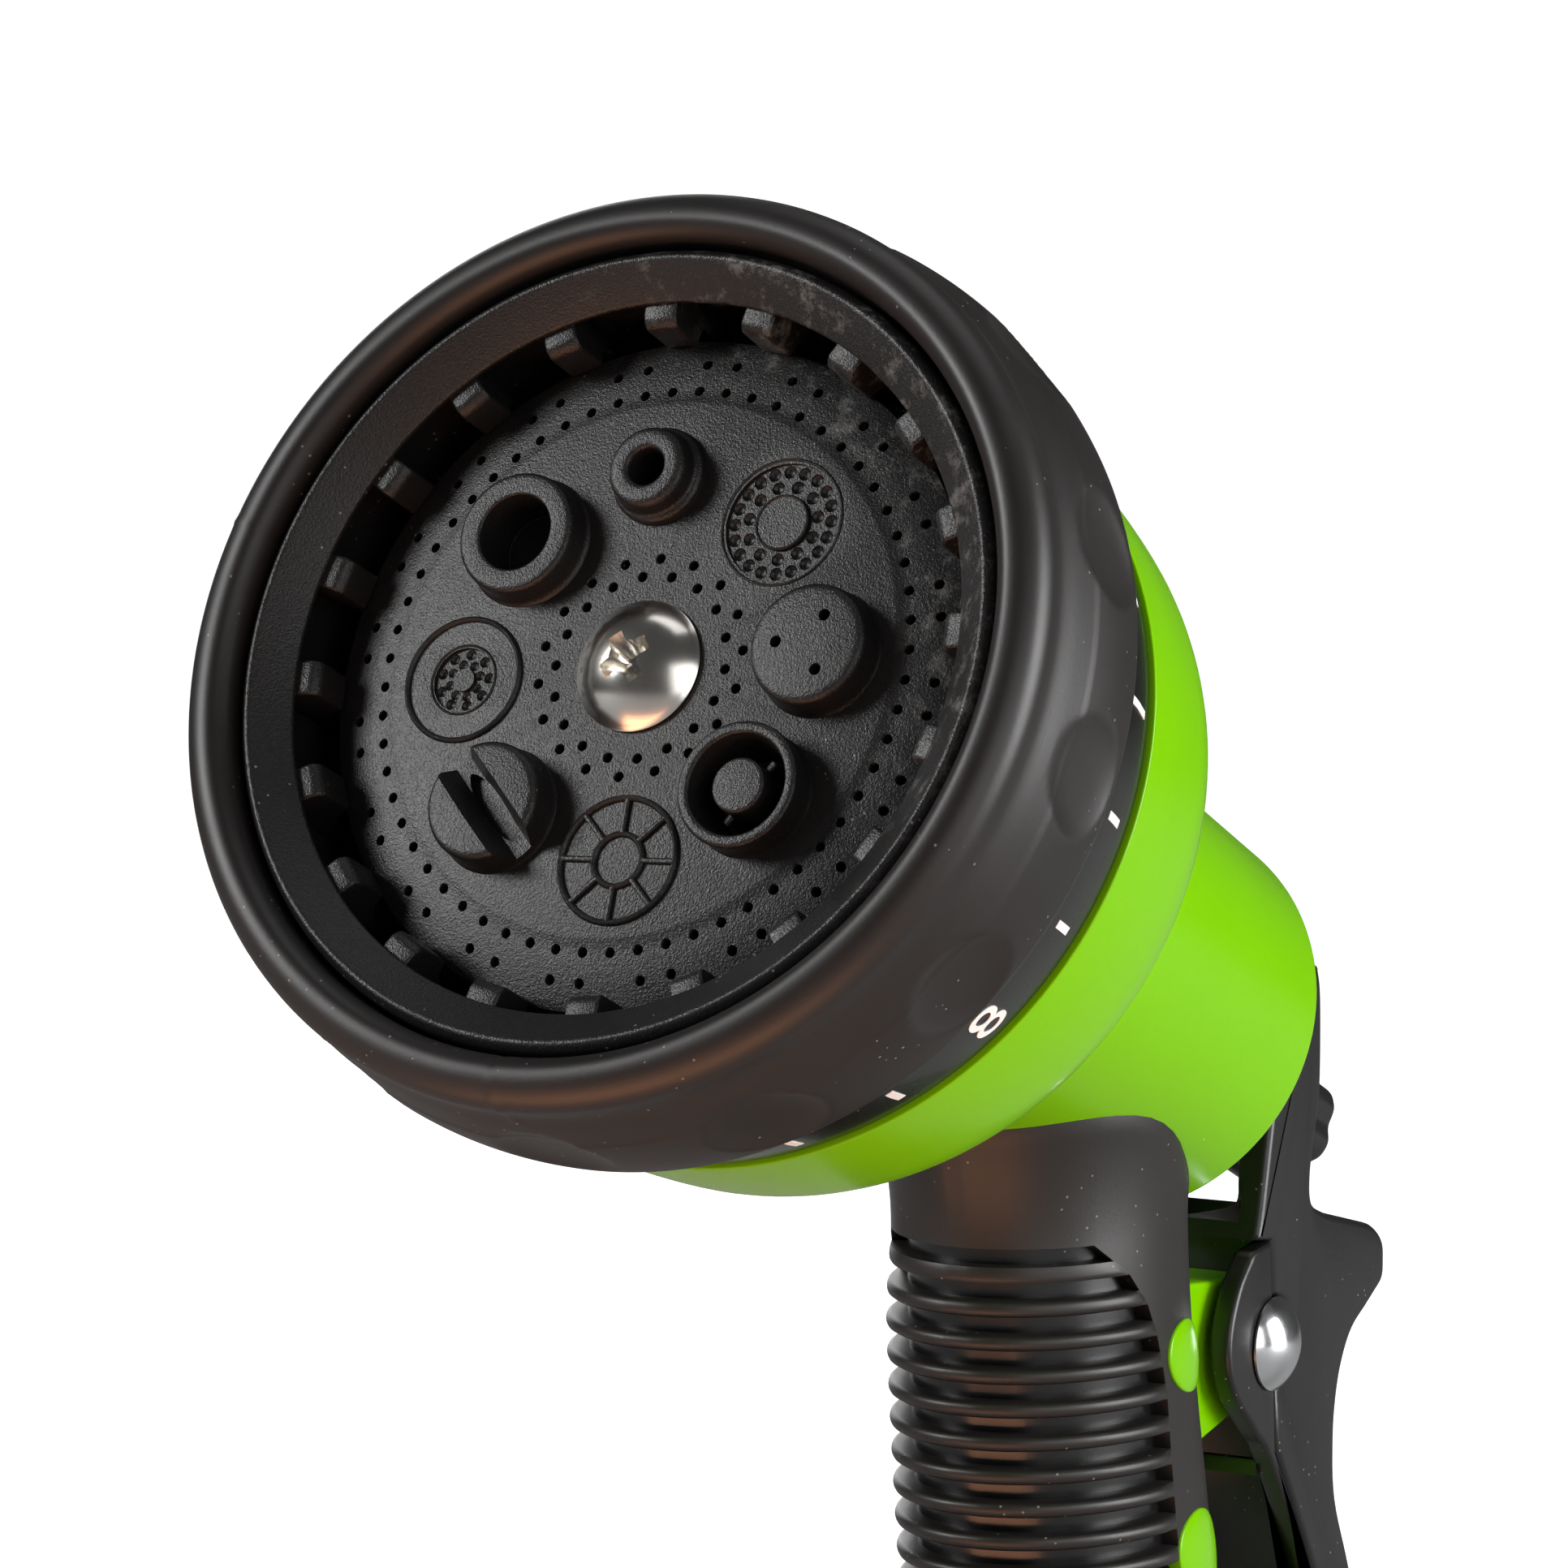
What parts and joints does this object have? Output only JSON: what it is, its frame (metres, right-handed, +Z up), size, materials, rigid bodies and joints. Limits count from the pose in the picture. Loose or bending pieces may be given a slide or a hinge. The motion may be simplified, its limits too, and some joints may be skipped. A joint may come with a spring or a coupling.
{
  "type": "hose spray nozzle",
  "caption": "Pistol-grip garden hose nozzle with an angled round head, a turning dial of spray patterns, a rubber-clad handle and a rear palm trigger with a flow knob.",
  "frame": {"origin": "centre of the hose nipple's lower end face, where the hose pushes on", "axes": "+Z up the handle, -Y towards the spray side, +Y towards the trigger, the body's plane of symmetry at x = 0"},
  "size_m": [0.0771, 0.1422, 0.2213],
  "materials": {
    "green": "glossy lime green moulded ABS",
    "plate_black": "fine matt black moulding",
    "rubber_black": "matt soft-touch rubber",
    "gloss_black": "polished black moulding",
    "satin_black": "satin black moulding",
    "nickel": "bright nickel plate",
    "aluminium": "bright turned aluminium",
    "steel": "stainless steel",
    "brass": "turned brass",
    "seal": "black nitrile rubber",
    "acetal": "natural white acetal"
  },
  "bodies": {
    "body": {"plate_screw": "nickel", "pivot_bush": "acetal", "head_shell": "green", "port_manifold": "satin_black", "port_seal": "seal", "seal_spring": "steel", "detent_spring": "steel", "body_housing": "green", "grip_liner": "gloss_black", "handle_sleeve": "rubber_black", "valve_seat": "brass", "valve_spring": "steel", "gland_nut": "satin_black", "stem_oring": "seal", "hose_nipple": "gloss_black", "nipple_oring": "seal", "inlet_washer": "seal", "inlet_filter": "steel"},
    "dial": {"spray_plate": "plate_black", "backing_plate": "acetal", "dial_ring": "gloss_black", "bezel_grip": "rubber_black"},
    "detent": {"detent_pin": "acetal"},
    "stem": {"valve_stem": "brass", "poppet_seal": "seal"},
    "knob": {"flow_knob": "satin_black", "knob_washer": "steel"},
    "trigger": {"trigger_cover": "satin_black", "trigger_frame": "satin_black", "pivot_rivet": "aluminium"}
  },
  "joints": [
    {"name": "dial_turn", "type": "hinge", "parent": "body", "child": "dial", "pos_m": [0, -0.0761, 0.185], "axis": [0, -0.915, 0.4035], "continuous": true},
    {"name": "detent_slide", "type": "slide", "parent": "body", "child": "detent", "axis": [0, 0.915, -0.4035], "range_m": [0, 0.0012], "stiffness_N_per_m": 40, "springref_m": -0.001},
    {"name": "trigger_squeeze", "type": "hinge", "parent": "body", "child": "trigger", "pos_m": [0, 0.0187, 0.1166], "axis": [-1, 0, 0], "range_deg": [0, 12], "stiffness_Nm_per_rad": 3, "springref_deg": -8.59},
    {"name": "stem_slide", "type": "slide", "parent": "body", "child": "stem", "axis": [0, 0.915, -0.4035], "range_m": [0, 0.0052]},
    {"name": "flow_knob_turn", "type": "hinge", "parent": "stem", "child": "knob", "pos_m": [0, 0.03333, 0.13674], "axis": [0, -0.915, 0.4035], "range_deg": [-180, 180]}
  ],
  "couplings": [
    {"joint": "stem_slide", "follows": "trigger_squeeze", "m_per_rad": 0.0243}
  ]
}
